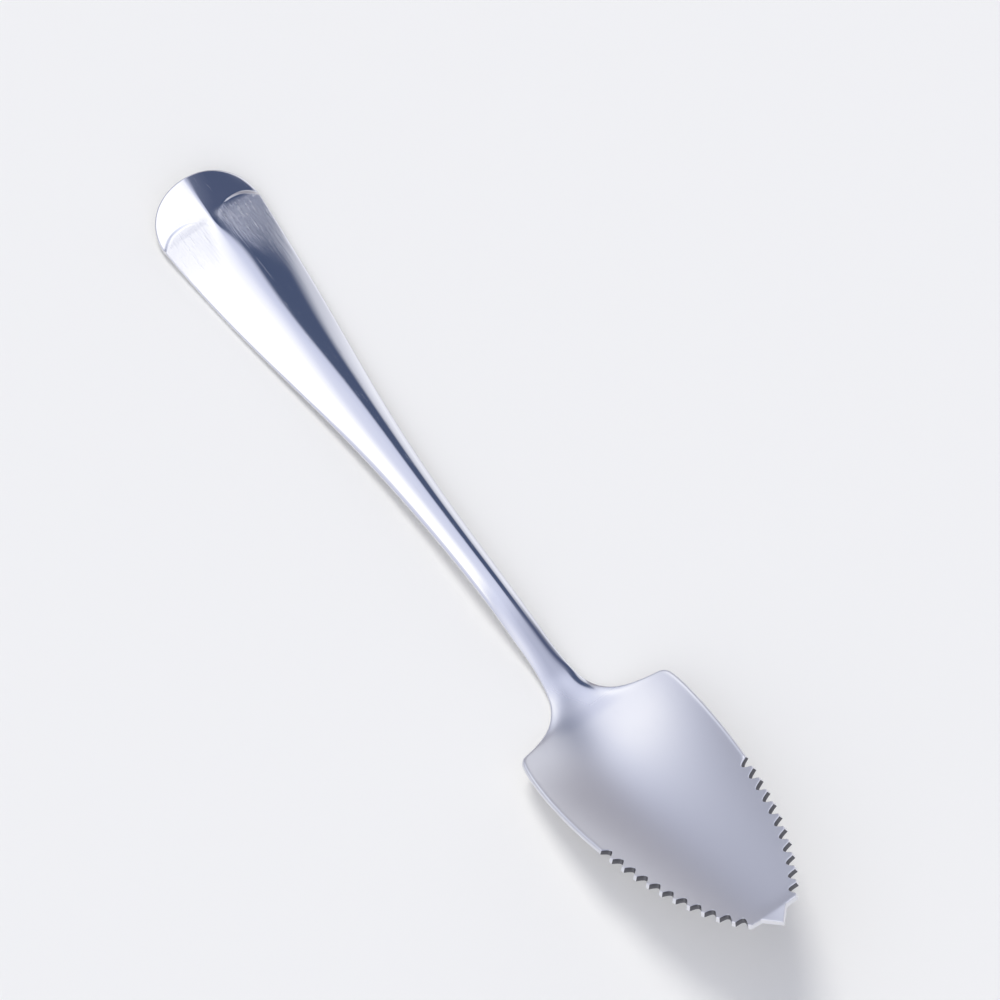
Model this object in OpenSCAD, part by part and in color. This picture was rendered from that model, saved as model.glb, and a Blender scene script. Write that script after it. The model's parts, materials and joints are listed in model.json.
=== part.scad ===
// Grapefruit spoon: one piece of stainless steel sheet, blanked, pressed to shape and ground.
// X runs from the handle's end to the tip of the bowl, Y runs across, and Z is up.
// The origin is midway along the spoon, on the table that it rests on.

/* [Sheet] */
// Thickness of the steel sheet
gauge = 1; // [0.8:0.1:1.4]

/* [Handle] */
// Length from the end of the handle to the narrowest place of the neck
handle_length = 98.8; // [86:0.2:120]
// Width of the handle at its widest
handle_width = 18.9; // [15:0.1:22]
// Length of the rounded end of the handle
end_length = 8.6; // [7:0.2:11]
// Height of the ridge above the edges of the handle
ridge_height = 1.3; // [0.6:0.1:1.8]
// Distance from the end of the handle to the crest of the thumbnail steps
panel_place = 6.7; // [6:0.1:8]
// How far the ends of a thumbnail step sweep back from its crest
panel_sweep = 2.1; // [1.6:0.1:3]
// Height of the thumbnail steps, from the pressed-down end to the panels
panel_step = 0.35; // [0.2:0.05:0.5]
// Length of the slope that makes a thumbnail step
panel_slope = 0.5; // [0.4:0.1:1.2]
// Distance from the end of the handle to where the ridge is sharpest, between the thumbnail steps
sharp_place = 8.7; // [7:0.1:11]
// Length over which the ridge would round off from there towards the end
sharp_end_run = 14; // [9:0.5:18]
// Length over which the ridge rounds off from there towards the neck
sharp_run = 10.5; // [7:0.5:14]

/* [Neck] */
// Width of the neck at its narrowest
neck_width = 5.3; // [4.4:0.1:7]
// Length from the narrowest place of the neck to the shoulders of the bowl
neck_length = 18.5; // [16:0.1:24]
// Height of the neck's middle above its edges
neck_crown = 0.8; // [0.3:0.1:1]
// How far the edges roll down from the middle in the fillets between the neck and the bowl
fillet_roll = 0.6; // [0:0.1:0.8]

/* [Bowl] */
// Length from the shoulders to the tip
bowl_length = 51.5; // [44:0.1:58]
// Width of the bowl at its widest
bowl_width = 29; // [27.5:0.1:34]
// Width across the shoulders
shoulder_width = 27.1; // [23:0.1:27.4]
// Size of the rounded corner at each shoulder
shoulder_round = 1; // [0.8:0.1:2.4]
// Height of the rim above the middle of the bowl, at the widest place
bowl_depth = 5; // [4:0.2:6]

/* [Teeth] */
// Length of plain rim between a shoulder and the first notch
plain_rim = 21.3; // [14:0.1:26]
// Pitch of the notches along the rim
tooth_pitch = 2.6; // [2:0.1:3.6]
// Depth of a notch
tooth_depth = 1.2; // [0.6:0.1:1.4]
// Length of rim that is left between two notches
tooth_flat = 0.6; // [0.3:0.1:0.9]
// Width of the tip between its two corner teeth
tip_width = 8.4; // [8:0.1:11]
// How far the middle tooth of the tip stands out past the corner teeth
tip_tooth = 2.6; // [1.6:0.1:3.2]
// Distance between the two notches beside the middle tooth
tip_tooth_width = 4.6; // [4:0.1:5]
// Distance from the corner teeth back to where the bowl is scooped up before its tip
tip_scoop_place = 1.4; // [1:0.1:2.5]
// Length over which it is scooped up
tip_scoop_softness = 1; // [0.6:0.1:1.6]
// Distance from the corner teeth back to the fold across the root of the middle tooth
tip_fold_place = 0.1; // [0:0.05:0.4]
// Length over which that fold is bent
tip_fold_softness = 0.15; // [0.1:0.05:0.5]

/* [Side view] */
// Angle by which the end of the handle turns up, in degrees
end_turn = 10; // [4:0.5:14]
// Angle by which the neck turns down, in degrees
neck_turn = 18; // [10:0.5:24]
// Angle by which the bowl turns up, in degrees
bowl_turn = 40.5; // [34:0.5:46]
// Angle by which the bowl is scooped up before its tip, in degrees
tip_scoop = 6; // [0:1:8]
// Angle by which the middle tooth is folded forward, in degrees
tip_fold = 15; // [0:1:18]
// Distance from the end of the handle to the bend of its end
end_bend = 16; // [12:0.5:20]
// Distance from the end of the handle to where it lies on the table
rest_place = 20; // [16:0.5:24]
// Length over which the end is bent
end_softness = 8; // [5:0.5:12]
// Distance from the neck bend to the narrowest place of the neck
neck_bend = 7; // [5:0.5:10]
// Length over which the neck is bent
neck_softness = 8; // [3:0.5:9]
// Distance from the shoulders to the bend of the bowl, towards the tip
bowl_bend = 4; // [2:0.5:6]
// Length over which the bowl is bent
bowl_softness = 18; // [14:0.5:24]
// Distance from the shoulders back to where the heel of the bowl lies on the table
heel_place = 3; // [1:0.5:5]

/* [Hidden] */

total_length = handle_length + neck_length + bowl_length;
half_handle = handle_width/2;
half_neck = neck_width/2;
half_shoulder = shoulder_width/2;
half_bowl = bowl_width/2;
half_tip = tip_width/2;
shoulder_x = handle_length + neck_length;
corner_tooth_x = total_length - tip_tooth;

// Each edge curve is pulled by two control points, given as shares of the curve's own length and widths
taper_shares = [[0.35, 0.8], [0.46, 0.88]];
arm_shares = [[0.66, 0.85], [0.8, 0.27]];
side_shares = [[0.11, 1.073], [0.73, 1.06]];
// The rounded end is a little fuller than an ellipse, whose power is 2
end_power = 2.25;
// The ridge falls to the edges in a straight line at power 1, in a round crown near 2 and late above that
sharp_power = 1;
round_power = 1.9;
neck_power = 3.2;
// The crown flattens on top from the first to the second of these shares of the handle's length
flat_shares = [0.24, 0.64];
// The crest of a thumbnail step lies at this share of the half width
panel_crest_share = 0.56;
panel_power = 2.6;
// The bowl's hollow has its full curve at this share of the neck's length
hollow_share = 1.1;
// The crown sinks from the first to the second of these shares of the neck's length, past its narrowest place
crown_end_shares = [-0.3, 1];
// The edges begin to roll down between the first pair of these shares, and end between the second
roll_start_shares = [0.4, 0.7];
roll_end_shares = [0.78, 1];
roll_power = 4;
// This share of the roll lifts the middle, and the rest lowers the edges, so the heel stays the lowest place
roll_lift_share = 0.3;

// The first row of the mesh is this part of the quarter turn of the rounded end
first_angle = 36;
end_rows = 14;
taper_rows = 30;
arm_rows = 16;
corner_rows = 4;
plain_rows = 9;
rows_per_tooth = 5;
curve_steps = 60;
columns = 14;
// The last column before the edge runs this many notch depths inside the rim, so that no notch crosses it
inset_depths = 1.15;
band_share = 1 - 2/columns;
// Lengths over which the curved first and last rows straighten, at the middle line
end_fade = end_length*1.5;
tip_fade = tooth_pitch*2;
probe = gauge/20;

// Curves
function clamped(t) = min(max(t, 0), 1);
function smooth(t) = let (c = clamped(t)) c*c*c*(c*(6*c - 15) + 10);
function between(t, ends) = (t - ends[0])/(ends[1] - ends[0]);
function bezier(p, t) =
    pow(1 - t, 3)*p[0] + 3*t*pow(1 - t, 2)*p[1] + 3*t*t*(1 - t)*p[2] + pow(t, 3)*p[3];
function bend_line(distance, softness) = (sqrt(distance*distance + softness*softness) + distance)/2;
function towards(from, to, distance) = from + (to - from)*distance/norm(to - from);

// Side view: the height of the sheet's back above the table, as straight runs joined by soft bends
function bent_line(x) =
    tan(end_turn)*(bend_line(x - end_bend, end_softness) - x)
    - tan(neck_turn)*bend_line(x - (handle_length - neck_bend), neck_softness)
    + tan(bowl_turn)*bend_line(x - (shoulder_x + bowl_bend), bowl_softness);
heel_x = shoulder_x - heel_place;
rest_height = bent_line(rest_place);
rest_slope = (bent_line(heel_x) - rest_height)/(heel_x - rest_place);
function back_height(x) = bent_line(x) - rest_height - rest_slope*(x - rest_place);

// Plan: the edge of the blank from the rounded end to the corner tooth, on the side of positive Y
function end_inset(share) = end_length*(1 - pow(1 - pow(share, end_power), 1/end_power));
end_points = [for (i = [0:end_rows - 1])
    let (share = sin(first_angle + (90 - first_angle)*i/end_rows)) [end_inset(share), half_handle*share]];

taper_length = handle_length - end_length;
taper_curve = [
    [end_length, half_handle],
    [end_length + taper_shares[0][0]*taper_length, taper_shares[0][1]*half_handle],
    [end_length + taper_shares[1][0]*taper_length, taper_shares[1][1]*half_neck],
    [handle_length, half_neck]];
taper_points = [for (i = [0:taper_rows - 1]) bezier(taper_curve, pow(i/taper_rows, 1.25))];

shoulder = [shoulder_x, half_shoulder];
arm_pull = [handle_length + arm_shares[1][0]*neck_length, arm_shares[1][1]*half_shoulder];
side_length = corner_tooth_x - shoulder_x;
side_pull = [shoulder_x + side_shares[0][0]*side_length, side_shares[0][1]*half_bowl];
corner_start = towards(shoulder, arm_pull, shoulder_round);
corner_end = towards(shoulder, side_pull, shoulder_round);
arm_curve = [
    [handle_length, half_neck],
    [handle_length + arm_shares[0][0]*neck_length, arm_shares[0][1]*half_neck],
    arm_pull,
    corner_start];
arm_points = [for (i = [0:arm_rows - 1]) bezier(arm_curve, i/arm_rows)];
corner_points = [for (i = [0:corner_rows - 1]) let (t = i/corner_rows)
    (1 - t)*(1 - t)*corner_start + 2*t*(1 - t)*shoulder + t*t*corner_end];

side_curve = [
    corner_end,
    side_pull,
    [shoulder_x + side_shares[1][0]*side_length, side_shares[1][1]*half_bowl],
    [corner_tooth_x, half_tip]];
side_samples = [for (i = [0:curve_steps]) bezier(side_curve, i/curve_steps)];
// Each entry pairs a distance along the side with the curve's own parameter there
side_table = [for (i = 0, run = 0; i <= curve_steps;
    run = i < curve_steps ? run + norm(side_samples[i + 1] - side_samples[i]) : run, i = i + 1)
    [run, i/curve_steps]];
side_run = side_table[curve_steps][0];
function side_at(distance) = bezier(side_curve, lookup(distance, side_table));
function side_outward(distance) =
    let (d = side_at(distance + probe) - side_at(distance - probe)) [-d[1], d[0]]/norm(d);

plain_points = [for (i = [0:plain_rows - 1]) side_at(plain_rim*i/plain_rows)];
tooth_count = round((side_run - plain_rim)/tooth_pitch);
tooth_length = (side_run - plain_rim)/tooth_count;
notch_length = tooth_length - tooth_flat;
// Each entry pairs a distance along the side with the depth of the notch there
notch_points = [for (k = [0:tooth_count - 1], i = [0:rows_per_tooth - 1])
    let (t = i/(rows_per_tooth - 1)) [plain_rim + tooth_length*k + notch_length*t, tooth_depth*sin(180*t)]];

// A row holds its plain edge point, its real edge point and the point of its last column before the edge
function even_band(p) = [p[0], band_share*p[1]];
function inset_at(distance, depth) = side_at(distance) - depth*side_outward(min(distance, side_run - probe));
plain_edge = concat(end_points, taper_points, arm_points, corner_points);
plain_edge_rows = [for (p = plain_edge) [p, p, even_band(p)]];
plain_side_rows = [for (i = [0:plain_rows - 1])
    let (p = plain_points[i], inset = inset_at(plain_rim*i/plain_rows, inset_depths*tooth_depth))
    [p, p, even_band(p) + (inset - even_band(p))*smooth(i/plain_rows)]];
toothed_rows = [for (p = concat(notch_points, [[side_run, 0]]))
    [side_at(p[0]), inset_at(p[0], p[1]), inset_at(p[0], inset_depths*tooth_depth)]];
rows = concat(plain_edge_rows, plain_side_rows, toothed_rows);
last_row = len(rows) - 1;

// How far the first row bows towards the end, and the last row towards the tip
first_x = rows[0][0][0];
function end_bow(side) = first_x - end_inset(side*sin(first_angle));
half_tooth = tip_tooth_width/2;
function tip_bow(y) = tip_tooth*(1 - min(abs(y)/half_tooth, 1));

// Shape of the front above the back line, at x and y, where the blank has the half width w
function crown_height(x) =
    (ridge_height + (neck_crown - ridge_height)*smooth((x - end_length)/(handle_length - end_length)))
    *(1 - smooth(between((x - handle_length)/neck_length, crown_end_shares)));
function roll_size(x) =
    let (share = (x - handle_length)/neck_length)
    fillet_roll*smooth(between(share, roll_start_shares))*(1 - smooth(between(share, roll_end_shares)));
function off_ridge(x) =
    1 - pow(1 - min(abs(x - sharp_place)/(x < sharp_place ? sharp_end_run : sharp_run), 1), 2);
function crown_power(x) =
    sharp_power + (round_power - sharp_power)*off_ridge(x)
    + (neck_power - round_power)*smooth(between(x/handle_length, flat_shares));
function dish_height(x, y) =
    bowl_depth*smooth((x - handle_length)/(hollow_share*neck_length))*pow(y/half_bowl, 2);
function panel_line(share) =
    panel_place + panel_sweep*pow(abs(share - panel_crest_share)/(1 - panel_crest_share), panel_power);
function end_drop(x, share) =
    panel_step*(1 - smooth((x - panel_line(share))/panel_slope + 1/2))*share;
function tip_height(x) =
    tan(tip_scoop)*bend_line(x - corner_tooth_x + tip_scoop_place, tip_scoop_softness)
    - tan(tip_fold)*bend_line(x - corner_tooth_x + tip_fold_place, tip_fold_softness);
function sheet_height(x, y, w) =
    gauge + back_height(x) + crown_height(x)*(1 - pow(abs(y)/w, crown_power(x)))
    - roll_size(x)*(pow(abs(y)/w, roll_power) - roll_lift_share)
    + dish_height(x, y) + tip_height(x);

// Points of the front, row by row, and of the back, one gauge below the sheet's face and square to it.
// Only the front has the thumbnail steps.
function row_width(row) = row[0][0] < end_length ? half_handle : row[0][1];
function column_share(j) = 2*j/columns - 1;
function point_xy(row, j) =
    let (
        side = abs(column_share(j)),
        at_edge = side == 1,
        part = side/band_share,
        y = at_edge ? row[1][1] : row[2][1]*part,
        x = at_edge ? row[1][0] : row[0][0] + (row[2][0] - row[0][0])*part*part,
        near_first = 1 - smooth((row[0][0] - first_x)/end_fade),
        near_last = 1 - smooth((corner_tooth_x - row[0][0])/(tip_fade + (tooth_flat - tip_fade)*part*part)),
        bowed_x = x - end_bow(side)*near_first + (row[0][0] + tip_bow(y) - x)*near_last)
    [at_edge ? x : bowed_x, sign(column_share(j))*y];
function sheet_point(row, xy) = [xy[0], xy[1], sheet_height(xy[0], xy[1], row_width(row))];
function front_point(row, xy) = sheet_point(row, xy) - [0, 0, end_drop(xy[0], abs(xy[1])/row_width(row))];
function sheet_normal(row, xy) =
    let (
        along = sheet_point(row, xy + [probe, 0]) - sheet_point(row, xy - [probe, 0]),
        across = sheet_point(row, xy + [0, probe]) - sheet_point(row, xy - [0, probe]),
        n = cross(along, across))
    n/norm(n);

front_points = [for (row = rows, j = [0:columns]) front_point(row, point_xy(row, j))];
back_points = [for (row = rows, j = [0:columns])
    let (xy = point_xy(row, j)) sheet_point(row, xy) - gauge*sheet_normal(row, xy)];
points = concat(front_points, back_points);

// The lowest point touches the table, and the origin is midway along
lowest = min([for (p = points) p[2]]);
middle = (min([for (p = points) p[0]]) + max([for (p = points) p[0]]))/2;

row_points = columns + 1;
back_start = len(front_points);
function at(i, j) = i*row_points + j;
function split(a, b, c, d) = [[a, b, c], [a, c, d]];
front_faces = [for (i = [0:last_row - 1], j = [0:columns - 1])
    each split(at(i, j), at(i, j + 1), at(i + 1, j + 1), at(i + 1, j))];
back_faces = [for (f = front_faces) [f[2] + back_start, f[1] + back_start, f[0] + back_start]];
function wall(a, b) = split(a, b, b + back_start, a + back_start);
side_walls = [for (i = [0:last_row - 1]) each concat(
    wall(at(i, 0), at(i + 1, 0)),
    wall(at(i + 1, columns), at(i, columns)))];
end_walls = [for (j = [0:columns - 1]) each concat(
    wall(at(0, j + 1), at(0, j)),
    wall(at(last_row, j), at(last_row, j + 1)))];
faces = concat(front_faces, back_faces, side_walls, end_walls);

// The whole spoon: handle, neck and toothed bowl are one sheet
module spoon() {
    color([0.82, 0.83, 0.86])
    translate([-middle, 0, -lowest])
    polyhedron(points = points, faces = faces, convexity = 6);
}

spoon();
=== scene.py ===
# %% [markdown]
# A grapefruit spoon is one piece of stainless steel sheet: a flat blank with notched sides is stamped out,
# pressed to shape between dies, then ground and polished. The imported model gives the frame that everything
# here is measured in, and the one body that the spoon rides on. It is loaded first.

# %% Load the frame
import json
import math

import bmesh
import bpy
from mathutils import Matrix, Vector
from mathutils.bvhtree import BVHTree

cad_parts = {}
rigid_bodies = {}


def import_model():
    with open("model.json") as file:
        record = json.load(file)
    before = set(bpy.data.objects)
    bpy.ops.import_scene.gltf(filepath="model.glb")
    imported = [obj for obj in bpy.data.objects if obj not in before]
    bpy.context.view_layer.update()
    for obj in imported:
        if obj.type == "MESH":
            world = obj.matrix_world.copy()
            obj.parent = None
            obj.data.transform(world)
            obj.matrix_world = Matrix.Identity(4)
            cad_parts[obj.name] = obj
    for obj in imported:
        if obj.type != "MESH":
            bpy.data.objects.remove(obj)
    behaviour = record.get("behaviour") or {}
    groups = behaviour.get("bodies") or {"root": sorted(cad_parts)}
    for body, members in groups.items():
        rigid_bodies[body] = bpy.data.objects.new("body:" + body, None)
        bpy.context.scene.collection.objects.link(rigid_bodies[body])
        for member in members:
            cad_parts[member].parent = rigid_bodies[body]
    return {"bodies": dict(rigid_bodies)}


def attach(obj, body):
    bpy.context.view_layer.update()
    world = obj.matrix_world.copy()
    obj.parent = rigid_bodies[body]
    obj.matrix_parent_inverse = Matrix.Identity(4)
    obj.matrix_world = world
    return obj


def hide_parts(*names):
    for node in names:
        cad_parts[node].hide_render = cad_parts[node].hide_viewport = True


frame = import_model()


MM = 0.001
BODY = sorted(frame["bodies"])[0]
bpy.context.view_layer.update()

# %% [markdown]
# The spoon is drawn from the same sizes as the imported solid, in millimetres, counted along X from the end of
# the handle. A stamped blank is a plan outline, and a press gives it a height at each place of that plan. So
# two sets of sizes are enough: one for the outline, and one for the heights.

# %% Sizes of the blank
GAUGE = 1.0
HANDLE_LENGTH = 98.8
HANDLE_WIDTH = 18.9
END_LENGTH = 8.6
NECK_WIDTH = 5.3
NECK_LENGTH = 18.5
BOWL_LENGTH = 51.5
BOWL_WIDTH = 29.0
SHOULDER_WIDTH = 27.1
SHOULDER_ROUND = 1.0
PLAIN_RIM = 21.3
TOOTH_PITCH = 2.6
TOOTH_DEPTH = 1.2
TOOTH_FLAT = 0.6
TIP_WIDTH = 8.4
TIP_TOOTH = 2.6
TIP_TOOTH_WIDTH = 4.6
TOTAL_LENGTH = HANDLE_LENGTH + NECK_LENGTH + BOWL_LENGTH
SHOULDER_X = HANDLE_LENGTH + NECK_LENGTH
CORNER_TOOTH_X = TOTAL_LENGTH - TIP_TOOTH
HALF_HANDLE = HANDLE_WIDTH / 2
HALF_NECK = NECK_WIDTH / 2
HALF_SHOULDER = SHOULDER_WIDTH / 2
HALF_BOWL = BOWL_WIDTH / 2
HALF_TIP = TIP_WIDTH / 2
print("spoon length in mm:", TOTAL_LENGTH)

# %% Sizes of the pressed shape
RIDGE_HEIGHT = 1.3
NECK_CROWN = 0.8
FILLET_ROLL = 0.6
BOWL_DEPTH = 5.0
PANEL_PLACE = 6.7
PANEL_SWEEP = 2.1
PANEL_STEP = 0.35
PANEL_SLOPE = 0.5
SHARP_PLACE = 8.7
SHARP_RUNS = (14.0, 10.5)
END_TURN = math.radians(10)
NECK_TURN = math.radians(18)
BOWL_TURN = math.radians(40.5)
END_BEND = 16.0
REST_PLACE = 20.0
END_SOFTNESS = 8.0
NECK_BEND = 7.0
NECK_SOFTNESS = 8.0
BOWL_BEND = 4.0
BOWL_SOFTNESS = 18.0
HEEL_PLACE = 3.0
TIP_SCOOP = math.radians(6)
TIP_SCOOP_PLACE = 1.4
TIP_SCOOP_SOFTNESS = 1.0
TIP_FOLD = math.radians(15)
TIP_FOLD_PLACE = 0.1
TIP_FOLD_SOFTNESS = 0.15

# %% Shares that pull the edge curves and spread the pressed shape
TAPER_SHARES = ((0.35, 0.8), (0.46, 0.88))
ARM_SHARES = ((0.66, 0.85), (0.8, 0.27))
SIDE_SHARES = ((0.11, 1.073), (0.73, 1.06))
END_POWER = 2.25
SHARP_POWER = 1.0
ROUND_POWER = 1.9
NECK_POWER = 3.2
FLAT_SHARES = (0.24, 0.64)
PANEL_CREST_SHARE = 0.56
PANEL_POWER = 2.6
HOLLOW_SHARE = 1.1
CROWN_END_SHARES = (-0.3, 1.0)
ROLL_START_SHARES = (0.4, 0.7)
ROLL_END_SHARES = (0.78, 1.0)
ROLL_POWER = 4.0
ROLL_LIFT_SHARE = 0.3

# %% [markdown]
# A press leaves straight runs joined by soft bends, never kinks. Three small functions give that: `smooth`
# goes from 0 to 1 without a corner, `bend_line` is flat before a place and straight after it, and `bezier`
# draws an edge curve from two ends and two pulls.

# %% Curve helpers
def smooth(t):
    """0 below 0, 1 above 1, and a soft step between, with no corner in its slope."""
    t = min(max(t, 0.0), 1.0)
    return t * t * t * (t * (6 * t - 15) + 10)


def between(t, ends):
    """0 at the first end and 1 at the second."""
    return (t - ends[0]) / (ends[1] - ends[0])


def bend_line(distance, softness):
    """Nearly 0 before the bend and nearly the distance after it."""
    return (math.sqrt(distance * distance + softness * softness) + distance) / 2


def bezier(points, t):
    """A point of the cubic curve through four plan points."""
    weights = ((1 - t) ** 3, 3 * t * (1 - t) ** 2, 3 * t * t * (1 - t), t ** 3)
    return sum((w * p for w, p in zip(weights, points)), Vector((0.0, 0.0)))


def towards(start, end, distance):
    """The point at a distance from start, on the way to end."""
    return start + (end - start).normalized() * distance


# %% Heights of the sheet
HEEL_X = SHOULDER_X - HEEL_PLACE


def bent_line(x):
    """Side view of the bent strip, before it is laid on the table."""
    end = math.tan(END_TURN) * (bend_line(x - END_BEND, END_SOFTNESS) - x)
    neck = math.tan(NECK_TURN) * bend_line(x - (HANDLE_LENGTH - NECK_BEND), NECK_SOFTNESS)
    bowl = math.tan(BOWL_TURN) * bend_line(x - (SHOULDER_X + BOWL_BEND), BOWL_SOFTNESS)
    return end - neck + bowl


REST_HEIGHT = bent_line(REST_PLACE)
REST_SLOPE = (bent_line(HEEL_X) - REST_HEIGHT) / (HEEL_X - REST_PLACE)


def back_height(x):
    """Height of the sheet's back on its middle line."""
    return bent_line(x) - REST_HEIGHT - REST_SLOPE * (x - REST_PLACE)


def crown_height(x):
    """How far the middle of the handle and neck stands above its edges."""
    along = smooth((x - END_LENGTH) / (HANDLE_LENGTH - END_LENGTH))
    sunk = smooth(between((x - HANDLE_LENGTH) / NECK_LENGTH, CROWN_END_SHARES))
    return (RIDGE_HEIGHT + (NECK_CROWN - RIDGE_HEIGHT) * along) * (1 - sunk)


def roll_size(x):
    """How far the edges roll down from the middle in the fillets between the neck and the bowl."""
    share = (x - HANDLE_LENGTH) / NECK_LENGTH
    started = smooth(between(share, ROLL_START_SHARES))
    return FILLET_ROLL * started * (1 - smooth(between(share, ROLL_END_SHARES)))


def crown_power(x):
    """1 falls in a straight line from a sharp ridge, 2 is a round crown, and more falls late."""
    run = SHARP_RUNS[0] if x < SHARP_PLACE else SHARP_RUNS[1]
    off_ridge = 1 - (1 - min(abs(x - SHARP_PLACE) / run, 1)) ** 2
    flattened = smooth(between(x / HANDLE_LENGTH, FLAT_SHARES))
    return SHARP_POWER + (ROUND_POWER - SHARP_POWER) * off_ridge + (NECK_POWER - ROUND_POWER) * flattened


def dish_height(x, y):
    """The hollow of the bowl."""
    return BOWL_DEPTH * smooth((x - HANDLE_LENGTH) / (HOLLOW_SHARE * NECK_LENGTH)) * (y / HALF_BOWL) ** 2


def panel_line(share):
    """Where the thumbnail step lies, at a share of the half width."""
    off_crest = abs(share - PANEL_CREST_SHARE) / (1 - PANEL_CREST_SHARE)
    return PANEL_PLACE + PANEL_SWEEP * off_crest ** PANEL_POWER


def end_drop(x, share):
    """The rounded end is pressed down in front of the thumbnail steps."""
    risen = smooth((x - panel_line(share)) / PANEL_SLOPE + 0.5)
    return PANEL_STEP * (1 - risen) * share


def tip_height(x):
    """The bowl is scooped up a little at its tip, and the middle tooth is folded forward."""
    from_teeth = x - CORNER_TOOTH_X
    scoop = math.tan(TIP_SCOOP) * bend_line(from_teeth + TIP_SCOOP_PLACE, TIP_SCOOP_SOFTNESS)
    fold = math.tan(TIP_FOLD) * bend_line(from_teeth + TIP_FOLD_PLACE, TIP_FOLD_SOFTNESS)
    return scoop - fold


def sheet_height(x, y, half_width):
    """Height of the sheet's face above the table, without the thumbnail steps."""
    side = abs(y) / half_width
    crown = crown_height(x) * (1 - side ** crown_power(x))
    roll = roll_size(x) * (side ** ROLL_POWER - ROLL_LIFT_SHARE)
    return GAUGE + back_height(x) + crown - roll + dish_height(x, y) + tip_height(x)


print("height of the tip in mm:", round(sheet_height(TOTAL_LENGTH, 0, HALF_TIP), 2))

# %% [markdown]
# The edge of the blank is walked once, from the rounded end to the corner tooth of the tip. Each stop on the
# walk becomes one row of the mesh. Rows are close together where the shape is small: on the rounded end, at
# the thumbnail steps and along the teeth.

# %% Walk along the edge
FIRST_ANGLE = math.radians(36)
END_ROWS = 60
END_CROWDING = 1.5
TAPER_ROWS = 130
TAPER_CROWDING = 1.6
ARM_ROWS = 48
CORNER_ROWS = 16
PLAIN_ROWS = 36
NOTCH_ROWS = 10
FLAT_ROWS = 5


def end_inset(share):
    """How far the rounded end lies back from its apex, at a share of the half width."""
    return END_LENGTH * (1 - (1 - share ** END_POWER) ** (1 / END_POWER))


def end_walk():
    """Stops around the rounded end of the handle."""
    for i in range(END_ROWS):
        share = math.sin(FIRST_ANGLE + (math.pi / 2 - FIRST_ANGLE) * (i / END_ROWS) ** END_CROWDING)
        yield Vector((end_inset(share), HALF_HANDLE * share))


def taper_walk():
    """Stops along the tapering handle, to the start of the neck."""
    length = HANDLE_LENGTH - END_LENGTH
    curve = (
        Vector((END_LENGTH, HALF_HANDLE)),
        Vector((END_LENGTH + TAPER_SHARES[0][0] * length, TAPER_SHARES[0][1] * HALF_HANDLE)),
        Vector((END_LENGTH + TAPER_SHARES[1][0] * length, TAPER_SHARES[1][1] * HALF_NECK)),
        Vector((HANDLE_LENGTH, HALF_NECK)),
    )
    for i in range(TAPER_ROWS):
        yield bezier(curve, (i / TAPER_ROWS) ** TAPER_CROWDING)


SHOULDER = Vector((SHOULDER_X, HALF_SHOULDER))
ARM_PULL = Vector((HANDLE_LENGTH + ARM_SHARES[1][0] * NECK_LENGTH, ARM_SHARES[1][1] * HALF_SHOULDER))
SIDE_LENGTH = CORNER_TOOTH_X - SHOULDER_X
SIDE_PULL = Vector((SHOULDER_X + SIDE_SHARES[0][0] * SIDE_LENGTH, SIDE_SHARES[0][1] * HALF_BOWL))
CORNER_START = towards(SHOULDER, ARM_PULL, SHOULDER_ROUND)
CORNER_END = towards(SHOULDER, SIDE_PULL, SHOULDER_ROUND)


def arm_walk():
    """Stops through the fillet between the neck and the shoulder."""
    curve = (
        Vector((HANDLE_LENGTH, HALF_NECK)),
        Vector((HANDLE_LENGTH + ARM_SHARES[0][0] * NECK_LENGTH, ARM_SHARES[0][1] * HALF_NECK)),
        ARM_PULL,
        CORNER_START,
    )
    for i in range(ARM_ROWS):
        yield bezier(curve, i / ARM_ROWS)


def corner_walk():
    """Stops around the soft corner of the shoulder."""
    for i in range(CORNER_ROWS):
        t = i / CORNER_ROWS
        yield (1 - t) ** 2 * CORNER_START + 2 * t * (1 - t) * SHOULDER + t * t * CORNER_END


# %% [markdown]
# The teeth are spaced along the rim itself, so the side curve needs a table that turns a distance along the
# rim into a place on the curve.

# %% The side of the bowl, by distance along it
SIDE_STEPS = 400
PROBE_RUN = TOOTH_PITCH / 20
SIDE_CURVE = (
    CORNER_END,
    SIDE_PULL,
    Vector((SHOULDER_X + SIDE_SHARES[1][0] * SIDE_LENGTH, SIDE_SHARES[1][1] * HALF_BOWL)),
    Vector((CORNER_TOOTH_X, HALF_TIP)),
)
side_runs = [0.0]
for step in range(SIDE_STEPS):
    piece = bezier(SIDE_CURVE, (step + 1) / SIDE_STEPS) - bezier(SIDE_CURVE, step / SIDE_STEPS)
    side_runs.append(side_runs[-1] + piece.length)
SIDE_RUN = side_runs[-1]
TOOTH_COUNT = round((SIDE_RUN - PLAIN_RIM) / TOOTH_PITCH)
TOOTH_LENGTH = (SIDE_RUN - PLAIN_RIM) / TOOTH_COUNT
NOTCH_LENGTH = TOOTH_LENGTH - TOOTH_FLAT
print("rim length in mm:", round(SIDE_RUN, 1), "notches a side:", TOOTH_COUNT)


def side_at(distance):
    """The place on the side curve at a distance from the shoulder's corner."""
    distance = min(max(distance, 0.0), SIDE_RUN)
    step = min(sum(1 for run in side_runs if run < distance), SIDE_STEPS)
    before = max(step - 1, 0)
    gap = side_runs[step] - side_runs[before]
    part = (distance - side_runs[before]) / gap if gap else 0.0
    return bezier(SIDE_CURVE, (before + part) / SIDE_STEPS)


def side_outward(distance):
    """The direction square to the side curve, away from the bowl."""
    along = side_at(min(distance + PROBE_RUN, SIDE_RUN)) - side_at(distance - PROBE_RUN)
    return Vector((-along.y, along.x)).normalized()


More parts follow.
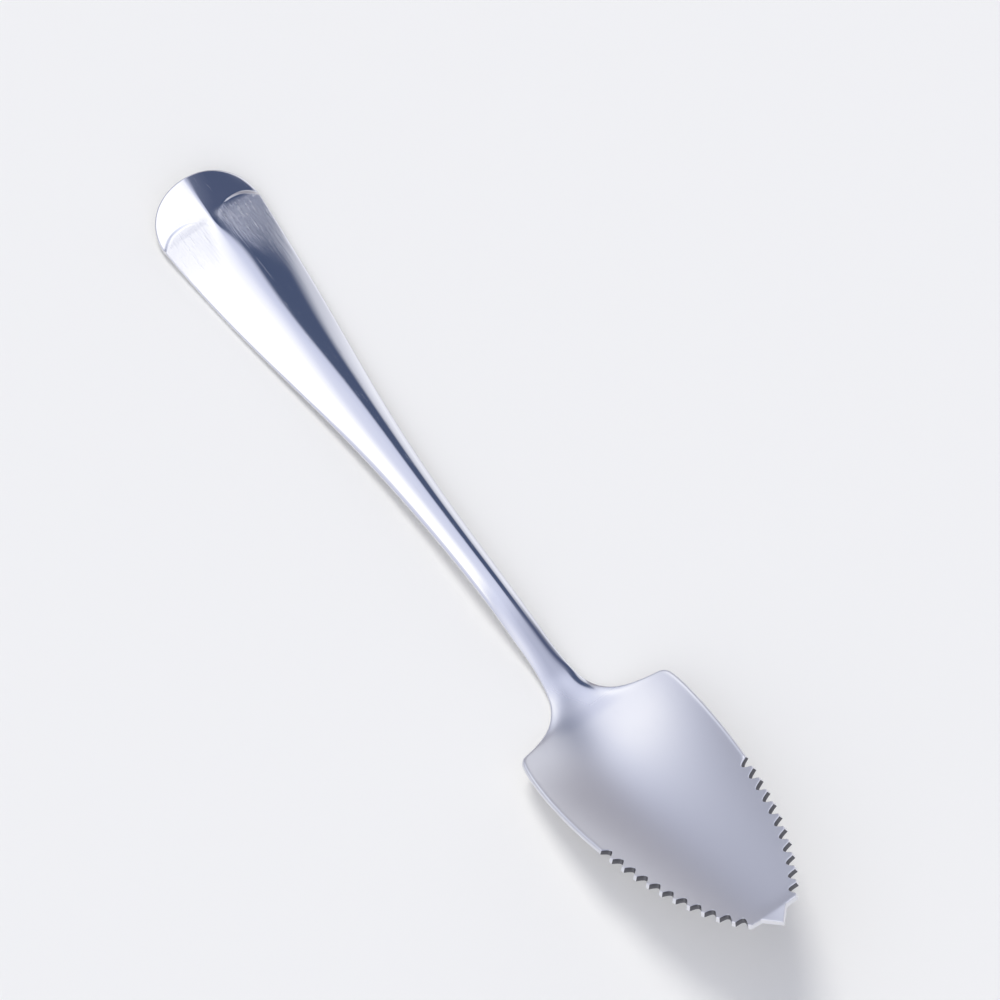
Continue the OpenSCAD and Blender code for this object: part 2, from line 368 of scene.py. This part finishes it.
# %% Stops along the teeth
def tooth_stops():
    """Pairs a distance along the side with the depth of the notch there, one tooth after another."""
    for tooth in range(TOOTH_COUNT):
        start = PLAIN_RIM + TOOTH_LENGTH * tooth
        for i in range(NOTCH_ROWS):
            yield start + NOTCH_LENGTH * i / NOTCH_ROWS, TOOTH_DEPTH * math.sin(math.pi * i / NOTCH_ROWS)
        for i in range(FLAT_ROWS):
            yield start + TOOTH_LENGTH - TOOTH_FLAT * (1 - i / FLAT_ROWS) ** 2, 0.0
    yield SIDE_RUN, 0.0


# %% Rows of the sheet
BAND_SHARE = 0.8
INSET = 1.15 * TOOTH_DEPTH


def mix(a, b, t):
    """The value or place at a share t of the way from a to b."""
    return a + (b - a) * t


def even_band(place):
    """The band's inner point where the columns are evenly spread."""
    return Vector((place.x, place.y * BAND_SHARE))


def make_rows():
    """Each row holds its place on the plain outline, its real edge point and the edge band's inner point."""
    rows = []
    for walk in (end_walk, taper_walk, arm_walk, corner_walk):
        rows += [(place, place, even_band(place)) for place in walk()]
    for i in range(PLAIN_ROWS):
        run = PLAIN_RIM * i / PLAIN_ROWS
        place = side_at(run)
        band = mix(even_band(place), place - INSET * side_outward(run), smooth(i / PLAIN_ROWS))
        rows.append((place, place, band))
    for run, notch in tooth_stops():
        place = side_at(run)
        outward = side_outward(run)
        rows.append((place, place - notch * outward, place - INSET * outward))
    return rows


rows = make_rows()
print("rows along the spoon:", len(rows))

# %% [markdown]
# The sheet starts as a flat grid from `create_grid`. Each of its vertices is then moved to its place on the
# blank and lifted to the pressed height. The outer columns form a narrow band along the rim, and they crowd
# together towards it, where the rim will be rounded. On the bowl the band holds the whole depth of the
# notches, so the notches never reach the smooth columns further in.

# %% Place of a grid vertex
INNER_COLUMNS = 24
BAND_COLUMNS = 9
BAND_CROWDING = 2.4
END_FADE = 1.5 * END_LENGTH
TIP_FADE = 2 * TOOTH_PITCH


def column_shares():
    """Shares of the half width from -1 to 1, even inside the bands and crowded towards the rim."""
    inner = [BAND_SHARE * i / INNER_COLUMNS for i in range(INNER_COLUMNS)]
    band = [1 - (1 - BAND_SHARE) * (1 - i / BAND_COLUMNS) ** BAND_CROWDING for i in range(BAND_COLUMNS + 1)]
    half = inner + band
    return [-share for share in reversed(half[1:])] + half


shares = column_shares()


def tip_bow(y):
    """The last row bows forward into the middle tooth of the tip."""
    return TIP_TOOTH * (1 - min(abs(y) / (TIP_TOOTH_WIDTH / 2), 1))


def inner_place(row, part):
    """Plan place inside the bands, at a share from 0 on the middle line to 1 where the band begins."""
    place, _, band = row
    spot = Vector((mix(place.x, band.x, part * part), band.y * part))
    near_last = 1 - smooth((CORNER_TOOTH_X - place.x) / mix(TIP_FADE, TOOTH_FLAT, part * part))
    return Vector((mix(spot.x, place.x + tip_bow(spot.y), near_last), spot.y))


def plan_place(row, share):
    """Plan place of a vertex at a share from -1 to 1 across its row."""
    side = abs(share)
    across_band = max(side - BAND_SHARE, 0) / (1 - BAND_SHARE)
    spot = mix(inner_place(row, min(side / BAND_SHARE, 1)), row[1], across_band)
    first_x = rows[0][0].x
    near_first = 1 - smooth((row[0].x - first_x) / END_FADE)
    spot.x -= (first_x - end_inset(side * math.sin(FIRST_ANGLE))) * near_first
    return Vector((spot.x, math.copysign(spot.y, share)))


def sheet_point(row, share):
    """A point of the sheet's face, in millimetres from the end of the handle."""
    plan = plan_place(row, share)
    half_width = HALF_HANDLE if row[0].x < END_LENGTH else row[0].y
    return Vector((plan.x, plan.y, sheet_height(plan.x, plan.y, half_width)))


# %% Lay the grid on the blank
def make_sheet():
    """The face of the spoon as one grid of quads."""
    sheet = bmesh.new()
    last_row = len(rows) - 1
    last_column = len(shares) - 1
    bmesh.ops.create_grid(sheet, x_segments=last_row, y_segments=last_column, size=1)
    for vert in sheet.verts:
        row = rows[round((vert.co.x + 1) / 2 * last_row)]
        vert.co = sheet_point(row, shares[round((vert.co.y + 1) / 2 * last_column)])
    sheet.normal_update()
    return sheet


sheet = make_sheet()
print("faces of the grid:", len(sheet.faces), "facing up:", all(face.normal.z > 0 for face in sheet.faces))

# %% [markdown]
# Real sheet has the same thickness everywhere, measured square to its surface. `solidify` closes the face
# into a shell, and each vertex is then set one gauge below the face or on it. The thumbnail steps are pressed
# into the front alone. Polishing has rounded the rim on both sides, so near it the front sinks and the back
# rises, along a quarter circle. The teeth were cut last and are nearly sharp.

# %% How far the rim's rounding reaches
RIM_ROUND = 0.36
TOOTH_ROUND = 0.09
TEETH_X = side_at(PLAIN_RIM).x


def rounding(x, distance):
    """How far each side of the sheet draws back at a distance from the rim."""
    radius = mix(RIM_ROUND, TOOTH_ROUND, smooth((x - TEETH_X) / TOOTH_PITCH + 0.5))
    reach = max(radius - distance, 0.0)
    return radius - math.sqrt(radius * radius - reach * reach)


def upright_ribbon(lines):
    """An upright ribbon along some plan lines, which distances in plan can be measured to."""
    corners = []
    for start, end in lines:
        corners += [(*start, -GAUGE), (*end, -GAUGE), (*end, GAUGE), (*start, GAUGE)]
    return BVHTree.FromPolygons(corners, [range(i, i + 4) for i in range(0, len(corners), 4)])


# %% Give the sheet its thickness
def thicken(sheet):
    """Turns the front into a closed shell of one gauge, with its rim rounded on both sides."""
    rim = upright_ribbon([[vert.co.xy for vert in edge.verts] for edge in sheet.edges if edge.is_boundary])
    stops = [side_at(run) for run, _ in tooth_stops()]
    plain_side = upright_ribbon(list(zip(stops, stops[1:])))
    number = sheet.verts.layers.int.new("number")
    inset = sheet.verts.layers.float.new("inset")
    fronts = []
    for i, vert in enumerate(sheet.verts):
        vert[number] = i
        vert[inset] = plain_side.find_nearest((vert.co.x, abs(vert.co.y), 0))[3]
        distance = rim.find_nearest((*vert.co.xy, 0))[3]
        step = Vector((0, 0, end_drop(vert.co.x, min(abs(vert.co.y) / HALF_HANDLE, 1))))
        fronts.append((vert.co.copy(), vert.normal.copy(), rounding(vert.co.x, distance), step))
    bmesh.ops.solidify(sheet, geom=sheet.faces[:], thickness=GAUGE)
    for vert in sheet.verts:
        place, normal, drawn_back, step = fronts[vert[number]]
        on_front = (vert.co - place).length < GAUGE / 2
        vert.co = place - (step + normal * drawn_back if on_front else normal * (GAUGE - drawn_back))
    bmesh.ops.recalc_face_normals(sheet, faces=sheet.faces[:])
    sheet.normal_update()


thicken(sheet)
heights = [vert.co.z for vert in sheet.verts]
print("faces:", len(sheet.faces), "heights in mm:", round(min(heights), 2), round(max(heights), 2))

# %% Sharp corners, and punched walls that get painted shade
CORNER_ANGLE = math.radians(40)
LEAST_CUT = 0.06


def mark_teeth(sheet):
    """Keeps the corners of the teeth crisp, and marks the walls that the punch left in the notches, which get
    painted shade.
    """
    for edge in sheet.edges:
        edge.smooth = edge.calc_face_angle() < CORNER_ANGLE
    inset = sheet.verts.layers.float["inset"]
    punched_and_shaded = sheet.faces.layers.float.new("punched_and_shaded")
    for face in sheet.faces:
        face.smooth = True
        upright = abs(face.normal.z) < math.sin(BOWL_TURN)
        on_side = TEETH_X < face.calc_center_median().x < CORNER_TOOTH_X
        cut = sum(vert[inset] for vert in face.verts) / len(face.verts)
        face[punched_and_shaded] = float(upright and on_side and cut > LEAST_CUT)
    return sum(1 for face in sheet.faces if face[punched_and_shaded])


print("punched wall faces:", mark_teeth(sheet))

# %% Finish the spoon's mesh
def lay_on_frame(sheet):
    """Moves the spoon to the frame's origin, in metres. Returns the X that its middle had before."""
    low = Vector([min(v.co[i] for v in sheet.verts) for i in range(3)])
    high = Vector([max(v.co[i] for v in sheet.verts) for i in range(3)])
    bmesh.ops.translate(sheet, vec=(-(low.x + high.x) / 2, 0, -low.z), verts=sheet.verts[:])
    bmesh.ops.scale(sheet, vec=(MM, MM, MM), verts=sheet.verts[:])
    return (low.x + high.x) / 2


middle_x = lay_on_frame(sheet)
mesh = bpy.data.meshes.new("spoon_sheet")
sheet.to_mesh(mesh)
sheet.free()
spoon = bpy.data.objects.new("spoon_sheet", mesh)
bpy.context.scene.collection.objects.link(spoon)
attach(spoon, BODY)
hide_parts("spoon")
print("middle of the spoon in mm from the handle's end:", round(middle_x, 3))

# %% [markdown]
# The finish is polished stainless steel. The handle is close to a mirror, with fine lengthwise scratches.
# The panels below the thumbnail steps were dressed with a belt and are brushed. The bowl is satin, because
# its hollow can't be reached by a flat wheel, and the walls of the notches are rough, as the punch left them.
# Their darkness is painted shade and painted dark reflection, standing for the shadow in the notches. One
# material covers the sheet. Masks that read the object's own coordinates blend the first three finishes into
# each other, as they blend on the real spoon, and the faces that were marked above get the last one.

# %% Node helpers
MIX_COLOUR_INPUTS = (6, 7)
MIX_COLOUR_OUTPUT = 2


def add(nodes, kind, **inputs):
    """Adds a node, sets its plain inputs by name and returns it."""
    node = nodes.new(kind)
    for name, value in inputs.items():
        node.inputs[name].default_value = value
    return node


def math_node(tree, operation, first, second=None, third=None, clamp=False):
    """A Math node whose inputs are numbers or sockets. Returns its output."""
    node = tree.nodes.new("ShaderNodeMath")
    node.operation = operation
    node.use_clamp = clamp
    for socket, value in zip(node.inputs, (first, second, third)):
        if isinstance(value, (int, float)):
            socket.default_value = value
        elif value is not None:
            tree.links.new(value, socket)
    return node.outputs[0]


def ramp_between(tree, value, low, high):
    """A soft step from 0 at low to 1 at high."""
    node = tree.nodes.new("ShaderNodeMapRange")
    node.interpolation_type = "SMOOTHSTEP"
    tree.links.new(value, node.inputs["Value"])
    node.inputs["From Min"].default_value = low
    node.inputs["From Max"].default_value = high
    return node.outputs["Result"]


def blend(tree, part, first, second):
    """Mixes two colours, each a socket or plain numbers. Returns the output."""
    node = tree.nodes.new("ShaderNodeMix")
    node.data_type = "RGBA"
    tree.links.new(part, node.inputs["Factor"])
    for number, colour in zip(MIX_COLOUR_INPUTS, (first, second)):
        if isinstance(colour, tuple):
            node.inputs[number].default_value = colour
        else:
            tree.links.new(colour, node.inputs[number])
    return node.outputs[MIX_COLOUR_OUTPUT]


# %% [markdown]
# Scratches are the same thing everywhere on the spoon, only finer or coarser. So they are one node group: a
# noise that is stretched along X, thinned to its peaks, and given out as a height and a mask.

# %% The scratch group
SCRATCH_STRETCH = (0.045, 1.0, 0.6)
SCRATCH_DETAIL = 6.0
SCRATCH_HARSHNESS = 0.72
SCRATCH_PEAKS = (0.58, 0.7)


def make_scratches():
    """Node group: long fine scratches along X."""
    group = bpy.data.node_groups.new("lengthwise_scratches", "ShaderNodeTree")
    sockets = group.interface
    sockets.new_socket("Position", in_out="INPUT", socket_type="NodeSocketVector")
    sockets.new_socket("Fineness", in_out="INPUT", socket_type="NodeSocketFloat")
    sockets.new_socket("Height", in_out="OUTPUT", socket_type="NodeSocketFloat")
    sockets.new_socket("Lines", in_out="OUTPUT", socket_type="NodeSocketFloat")
    start = group.nodes.new("NodeGroupInput")
    end = group.nodes.new("NodeGroupOutput")
    stretch = group.nodes.new("ShaderNodeMapping")
    stretch.inputs["Scale"].default_value = SCRATCH_STRETCH
    group.links.new(start.outputs["Position"], stretch.inputs["Vector"])
    noise = add(group.nodes, "ShaderNodeTexNoise", Detail=SCRATCH_DETAIL, Roughness=SCRATCH_HARSHNESS)
    group.links.new(stretch.outputs["Vector"], noise.inputs["Vector"])
    group.links.new(start.outputs["Fineness"], noise.inputs["Scale"])
    group.links.new(noise.outputs["Fac"], end.inputs["Height"])
    group.links.new(ramp_between(group, noise.outputs["Fac"], *SCRATCH_PEAKS), end.inputs["Lines"])
    return group


scratches = make_scratches()
print("scratch group outputs:", [socket.name for socket in scratches.interface.items_tree])

# %% Where the steel is satin or brushed
SATIN_PLACES = (108, 118)
SLANTED_SATIN_PLACES = (104, 117)
SATIN_SLANT = -1.5
BRUSHED_START = (PANEL_PLACE, PANEL_PLACE + 1.5)
BRUSHED_END = (10, 25)
BRUSHED_EDGE_SLOPE = 0.25
BRUSHED_EDGE_FADE = (-0.6, 1.4)


def along_spoon(x):
    """Object coordinate of a place that is given in millimetres from the end of the handle."""
    return (x - middle_x) * MM


def place_ramp(tree, value, places):
    """A soft step between two places that are given in millimetres from the end of the handle."""
    return ramp_between(tree, value, along_spoon(places[0]), along_spoon(places[1]))


def satin_mask(tree, x, y):
    """1 in the bowl and 0 on the handle. The satin starts sooner on the -Y side of the neck."""
    slanted = math_node(tree, "MULTIPLY_ADD", y, SATIN_SLANT, x)
    straight_part = place_ramp(tree, x, SATIN_PLACES)
    slanted_part = place_ramp(tree, slanted, SLANTED_SATIN_PLACES)
    return math_node(tree, "MAXIMUM", straight_part, slanted_part)


def brushed_mask(tree, x, y):
    """1 on the two panels, which draw back from the ridge with the distance from the thumbnail steps."""
    begun = place_ramp(tree, x, BRUSHED_START)
    ended = place_ramp(tree, x, BRUSHED_END)
    from_step = math_node(tree, "SUBTRACT", x, along_spoon(PANEL_PLACE))
    inner_edge = math_node(tree, "MULTIPLY", from_step, BRUSHED_EDGE_SLOPE)
    from_edge = math_node(tree, "SUBTRACT", math_node(tree, "ABSOLUTE", y), inner_edge)
    off_ridge = ramp_between(tree, from_edge, BRUSHED_EDGE_FADE[0] * MM, BRUSHED_EDGE_FADE[1] * MM)
    return math_node(tree, "MULTIPLY", math_node(tree, "SUBTRACT", begun, ended), off_ridge, clamp=True)


# %% The steel
STEEL_COLOUR = (0.80, 0.80, 0.83, 1)
MIRROR_ROUGHNESS = 0.07
BRUSHED_ROUGHNESS = 0.26
SATIN_ROUGHNESS = 0.36
SCRATCH_ROUGHNESS = 0.1
# The colour of the punched walls is a painted shade and painted dark reflection for the shadowed notches.
PUNCHED_WALL_SHADE_COLOUR = (0.17, 0.17, 0.18, 1)
PUNCHED_ROUGHNESS = 0.5
SCRATCH_FINENESS = 2600
BUMP_DISTANCE = 0.06 * MM
PLAIN_BUMP = 0.02
SCRATCH_BUMP = 0.5
BRUSHED_BUMP = 0.8


def steel_roughness(tree, satin, brushed, lines, punched_and_shaded):
    """Roughness from the masks of the four finishes and the scratches."""
    rough = math_node(tree, "MULTIPLY_ADD", satin, SATIN_ROUGHNESS - MIRROR_ROUGHNESS, MIRROR_ROUGHNESS)
    rough = math_node(tree, "MULTIPLY_ADD", brushed, BRUSHED_ROUGHNESS - MIRROR_ROUGHNESS, rough)
    rough = math_node(tree, "MULTIPLY_ADD", lines, SCRATCH_ROUGHNESS, rough)
    return math_node(tree, "MAXIMUM", rough, math_node(tree, "MULTIPLY", punched_and_shaded, PUNCHED_ROUGHNESS))


def steel_bump(tree, satin, brushed, scratched):
    """A slight grain: scratches on the polished steel, a stronger one on the panels, none on the satin."""
    bump = add(tree.nodes, "ShaderNodeBump", Distance=BUMP_DISTANCE)
    polished = math_node(tree, "SUBTRACT", 1.0, satin)
    strength = math_node(tree, "MULTIPLY_ADD", scratched.outputs["Lines"], SCRATCH_BUMP, PLAIN_BUMP)
    strength = math_node(tree, "MULTIPLY", strength, polished)
    strength = math_node(tree, "MULTIPLY_ADD", brushed, BRUSHED_BUMP, strength, clamp=True)
    tree.links.new(strength, bump.inputs["Strength"])
    tree.links.new(scratched.outputs["Height"], bump.inputs["Height"])
    return bump.outputs["Normal"]


def make_steel():
    """Polished steel that turns brushed on the panels and satin in the bowl, with a painted shade on the
    punched walls.
    """
    steel = bpy.data.materials.new("polished_steel")
    steel.use_nodes = True
    tree = steel.node_tree
    shader = tree.nodes["Principled BSDF"]
    shader.inputs["Metallic"].default_value = 1.0
    place = tree.nodes.new("ShaderNodeTexCoord").outputs["Object"]
    parts = tree.nodes.new("ShaderNodeSeparateXYZ")
    tree.links.new(place, parts.inputs[0])
    satin = satin_mask(tree, parts.outputs["X"], parts.outputs["Y"])
    brushed = brushed_mask(tree, parts.outputs["X"], parts.outputs["Y"])
    scratched = tree.nodes.new("ShaderNodeGroup")
    scratched.node_tree = scratches
    scratched.inputs["Fineness"].default_value = SCRATCH_FINENESS
    tree.links.new(place, scratched.inputs["Position"])
    marked = tree.nodes.new("ShaderNodeAttribute")
    marked.attribute_name = "punched_and_shaded"
    punched_and_shaded = marked.outputs["Fac"]
    rough = steel_roughness(tree, satin, brushed, scratched.outputs["Lines"], punched_and_shaded)
    # The punched walls get a painted shade in their base colour.
    tree.links.new(blend(tree, punched_and_shaded, STEEL_COLOUR, PUNCHED_WALL_SHADE_COLOUR), shader.inputs["Base Color"])
    tree.links.new(rough, shader.inputs["Roughness"])
    tree.links.new(steel_bump(tree, satin, brushed, scratched), shader.inputs["Normal"])
    return steel


spoon.data.materials.append(make_steel())
print("materials of the spoon:", [material.name for material in spoon.data.materials])

# %% [markdown]
# The camera looks down on the spoon from beyond its tip, through a long lens. Its angles were solved by
# laying the spoon's outline over the photograph, and they are given for a spoon on a flat table.

# %% The camera
VIEW_ELEVATION = math.radians(65.146)
VIEW_AZIMUTH = math.radians(147.127)
VIEW_ROLL = math.radians(-1.996)
FOCAL_PIXELS = 8000
PIXELS_PER_MM = 6.246
FRAME_PIXELS = 1000
SENSOR_MM = 36
AIM_HEIGHT = 5
AIM_PIXEL = Vector((475.475, 560.05))
CLIP_END = 20


def make_camera():
    """A long lens at the photograph's angles, which shows the point above the origin at AIM_PIXEL."""
    forward = Vector((
        math.cos(VIEW_ELEVATION) * math.cos(VIEW_AZIMUTH),
        math.cos(VIEW_ELEVATION) * math.sin(VIEW_AZIMUTH),
        -math.sin(VIEW_ELEVATION)))
    level = Vector((math.sin(VIEW_AZIMUTH), -math.cos(VIEW_AZIMUTH), 0))
    rise = level.cross(forward)
    right = math.cos(VIEW_ROLL) * level + math.sin(VIEW_ROLL) * rise
    up = math.cos(VIEW_ROLL) * rise - math.sin(VIEW_ROLL) * level
    off_centre = Vector((FRAME_PIXELS / 2, FRAME_PIXELS / 2)) - AIM_PIXEL
    aim = Vector((0, 0, AIM_HEIGHT)) + (off_centre.x * right - off_centre.y * up) / PIXELS_PER_MM
    lens = bpy.data.cameras.new("photo_lens")
    lens.sensor_width = SENSOR_MM
    lens.lens = FOCAL_PIXELS / FRAME_PIXELS * SENSOR_MM
    lens.clip_end = CLIP_END
    camera = bpy.data.objects.new("photo_camera", lens)
    turn = Matrix((right, up, -forward)).transposed().to_4x4()
    camera.matrix_world = Matrix.Translation((aim - forward * FOCAL_PIXELS / PIXELS_PER_MM) * MM) @ turn
    bpy.context.scene.collection.objects.link(camera)
    bpy.context.scene.camera = camera
    return camera


camera = make_camera()
print("camera place in metres:", [round(value, 3) for value in camera.matrix_world.translation])

# %% [markdown]
# Polished metal has no look of its own: it shows what surrounds it. So the world is a studio of three zones,
# and each part of the spoon looks into another one. The handle is nearly level and sees bands that run along
# the spoon: they are pale, but for a dark slot that gives the handle's right side its dark band. The bands
# go by the angle about the X axis, in degrees from straight up towards +Y. The bowl slopes up and sees the
# far zone, beyond the handle, which gets dimmer towards the horizon and has a warmer side. The neck slopes
# down to the bowl and sees the zone ahead, which goes by the direction's part along Y and is dark where the
# slot goes on. The camera itself sees one pale grey.

# %% The studio
BAND_STOPS = (
    (-180, (0.62, 0.64, 0.74)),
    (-75, (0.66, 0.69, 0.82)),
    (-45, (0.8, 0.83, 0.98)),
    (8, (0.86, 0.9, 1.08)),
    (19, (0.7, 0.74, 0.92)),
    (21, (0.078, 0.105, 0.19)),
    (36.5, (0.078, 0.105, 0.19)),
    (43, (0.68, 0.7, 0.78)),
    (52, (0.86, 0.88, 0.96)),
    (66, (1.06, 1.08, 1.14)),
    (90, (0.78, 0.79, 0.86)),
    (180, (0.62, 0.64, 0.74)),
)
FAR_STOPS = (
    (0.0, (0.14, 0.15, 0.2)),
    (0.2, (0.22, 0.23, 0.3)),
    (0.4, (0.56, 0.59, 0.73)),
    (0.62, (0.82, 0.86, 1.0)),
    (0.8, (1.02, 1.06, 1.22)),
    (1.0, (1.1, 1.13, 1.25)),
)
WARM_SIDE = (0.38, 0.37, 0.41, 1)
WARM_Y = (0.25, 0.65)
FAR_X = (-0.45, -0.53)
AHEAD_STOPS = (
    (-0.5, (0.98, 1.0, 1.1)),
    (-0.25, (0.86, 0.89, 1.04)),
    (0.0, (0.7, 0.73, 0.88)),
    (0.15, (0.62, 0.65, 0.81)),
    (0.3, (0.45, 0.48, 0.62)),
    (0.48, (0.11, 0.13, 0.22)),
    (0.78, (0.08, 0.1, 0.18)),
    (0.88, (0.7, 0.72, 0.8)),
)
AHEAD_X = (-0.28, 0.04)
SEEN_COLOUR = (0.86, 0.86, 0.87, 1)


def colour_ramp(tree, value, stops):
    """A Color Ramp node with a stop for each position and colour. Returns its output."""
    node = tree.nodes.new("ShaderNodeValToRGB")
    tree.links.new(value, node.inputs["Fac"])
    while len(node.color_ramp.elements) < len(stops):
        node.color_ramp.elements.new(0.5)
    for stop, (position, colour) in zip(node.color_ramp.elements, stops):
        stop.position = position
        stop.color = (*colour, 1)
    return node.outputs["Color"]


def make_sky():
    """A world whose colour depends on the direction alone."""
    world = bpy.data.worlds.new("studio")
    world.use_nodes = True
    tree = world.node_tree
    tree.nodes.clear()
    output = tree.nodes.new("ShaderNodeOutputWorld")
    background = tree.nodes.new("ShaderNodeBackground")
    direction = tree.nodes.new("ShaderNodeSeparateXYZ")
    tree.links.new(tree.nodes.new("ShaderNodeTexCoord").outputs["Generated"], direction.inputs[0])
    x, y, z = (direction.outputs[axis] for axis in "XYZ")
    turn = math_node(tree, "MULTIPLY_ADD", math_node(tree, "ARCTAN2", y, z), 1 / (2 * math.pi), 0.5)
    bands = colour_ramp(tree, turn, [((angle + 180) / 360, colour) for angle, colour in BAND_STOPS])
    far = blend(tree, ramp_between(tree, y, *WARM_Y), colour_ramp(tree, z, FAR_STOPS), WARM_SIDE)
    colour = blend(tree, ramp_between(tree, x, *FAR_X), bands, far)
    across = math_node(tree, "MULTIPLY_ADD", y, 0.5, 0.5)
    ahead = colour_ramp(tree, across, [((place + 1) / 2, colour) for place, colour in AHEAD_STOPS])
    colour = blend(tree, ramp_between(tree, x, *AHEAD_X), colour, ahead)
    seen = tree.nodes.new("ShaderNodeLightPath").outputs["Is Camera Ray"]
    tree.links.new(blend(tree, seen, colour, SEEN_COLOUR), background.inputs["Color"])
    tree.links.new(background.outputs[0], output.inputs["Surface"])
    return world


bpy.context.scene.world = make_sky()
print("stops of the bands, far zone and zone ahead:", len(BAND_STOPS), len(FAR_STOPS), len(AHEAD_STOPS))

# %% [markdown]
# The studio's light comes from all sides, so it gives only a faint shadow. One soft lamp from beyond the
# handle gives the shadow its direction. The spoon's reflections leave it out, because the softbox stands for
# it there.

# %% The lamp
LAMP_FROM = Vector((-0.5, 0.12, 0.86))
LAMP_STRENGTH = 1.15
LAMP_ANGLE = math.radians(22)


def make_lamp():
    """A soft lamp that lights the floor and leaves the reflections alone."""
    light = bpy.data.lights.new("soft_lamp", "SUN")
    light.energy = LAMP_STRENGTH
    light.angle = LAMP_ANGLE
    lamp = bpy.data.objects.new("soft_lamp", light)
    lamp.matrix_world = LAMP_FROM.to_track_quat("Z", "Y").to_matrix().to_4x4()
    lamp.visible_glossy = False
    bpy.context.scene.collection.objects.link(lamp)
    return lamp


lamp = make_lamp()
print("lamp:", lamp.name, "strength:", lamp.data.energy)

# %% [markdown]
# The softbox hangs so low that only the handle sees it from below. The neck looks past its end, and the bowl
# shows it as one highlight. That needs a real sheet at a real place, because a world is equally far from
# everything. Its light fades towards its edges, and it shows in reflections alone.

# %% The softbox
SOFTBOX_HEIGHT = 300
SOFTBOX_X = (-215, 24)
SOFTBOX_Y = (-300, 90)
SOFTBOX_FADE_X = (90, 70)
SOFTBOX_FADE_Y = (60, 100)
SOFTBOX_LEVEL = 1.36


def make_glow():
    """Light that fades out towards the edges of the softbox."""
    glow = bpy.data.materials.new("softbox_glow")
    glow.use_nodes = True
    tree = glow.node_tree
    tree.nodes.clear()
    parts = tree.nodes.new("ShaderNodeSeparateXYZ")
    tree.links.new(tree.nodes.new("ShaderNodeTexCoord").outputs["Object"], parts.inputs[0])
    part = 1.0
    for axis, (low, high), fades in (("X", SOFTBOX_X, SOFTBOX_FADE_X), ("Y", SOFTBOX_Y, SOFTBOX_FADE_Y)):
        half = (high - low) / 2 * MM
        risen = ramp_between(tree, parts.outputs[axis], -half, -half + fades[0] * MM)
        fallen = ramp_between(tree, parts.outputs[axis], half, half - fades[1] * MM)
        part = math_node(tree, "MULTIPLY", math_node(tree, "MULTIPLY", risen, fallen), part)
    mixed = tree.nodes.new("ShaderNodeMixShader")
    lit = add(tree.nodes, "ShaderNodeEmission", Strength=SOFTBOX_LEVEL)
    tree.links.new(part, mixed.inputs[0])
    tree.links.new(tree.nodes.new("ShaderNodeBsdfTransparent").outputs[0], mixed.inputs[1])
    tree.links.new(lit.outputs[0], mixed.inputs[2])
    tree.links.new(mixed.outputs[0], tree.nodes.new("ShaderNodeOutputMaterial").inputs[0])
    return glow


def make_plane(name, width, depth):
    """A flat sheet with its width along X and its depth along Y, in metres."""
    plane = bmesh.new()
    bmesh.ops.create_grid(plane, x_segments=1, y_segments=1, size=0.5)
    bmesh.ops.scale(plane, vec=(width, depth, 1), verts=plane.verts[:])
    mesh = bpy.data.meshes.new(name)
    plane.to_mesh(mesh)
    plane.free()
    thing = bpy.data.objects.new(name, mesh)
    bpy.context.scene.collection.objects.link(thing)
    return thing


def make_softbox():
    """A glowing sheet over the handle. Its places are in millimetres from the end of the handle."""
    width = (SOFTBOX_X[1] - SOFTBOX_X[0]) * MM
    depth = (SOFTBOX_Y[1] - SOFTBOX_Y[0]) * MM
    softbox = make_plane("softbox", width, depth)
    softbox.location = (along_spoon(sum(SOFTBOX_X) / 2), sum(SOFTBOX_Y) / 2 * MM, SOFTBOX_HEIGHT * MM)
    softbox.visible_camera = False
    softbox.visible_diffuse = False
    softbox.visible_shadow = False
    softbox.data.materials.append(make_glow())
    return softbox


softbox = make_softbox()
print("softbox place in metres:", [round(value, 3) for value in softbox.location])

# %% [markdown]
# The floor is one wide matt sheet at the height that the spoon rests on. The studio's light is a little blue,
# so the floor's paint is a little warm, which keeps the picture of it neutral.

# %% The floor
FLOOR_SIZE = 3.0
FLOOR_COLOUR = (0.9, 0.88, 0.81, 1)
FLOOR_ROUGHNESS = 0.9


def make_floor():
    """The pale floor under the spoon."""
    floor = make_plane("floor", FLOOR_SIZE, FLOOR_SIZE)
    paint = bpy.data.materials.new("floor_paint")
    paint.use_nodes = True
    shader = paint.node_tree.nodes["Principled BSDF"]
    shader.inputs["Base Color"].default_value = FLOOR_COLOUR
    shader.inputs["Roughness"].default_value = FLOOR_ROUGHNESS
    floor.data.materials.append(paint)
    return floor


floor = make_floor()
print("floor size in metres:", [round(value, 3) for value in floor.dimensions])
bpy.context.scene.view_settings.view_transform = "Standard"
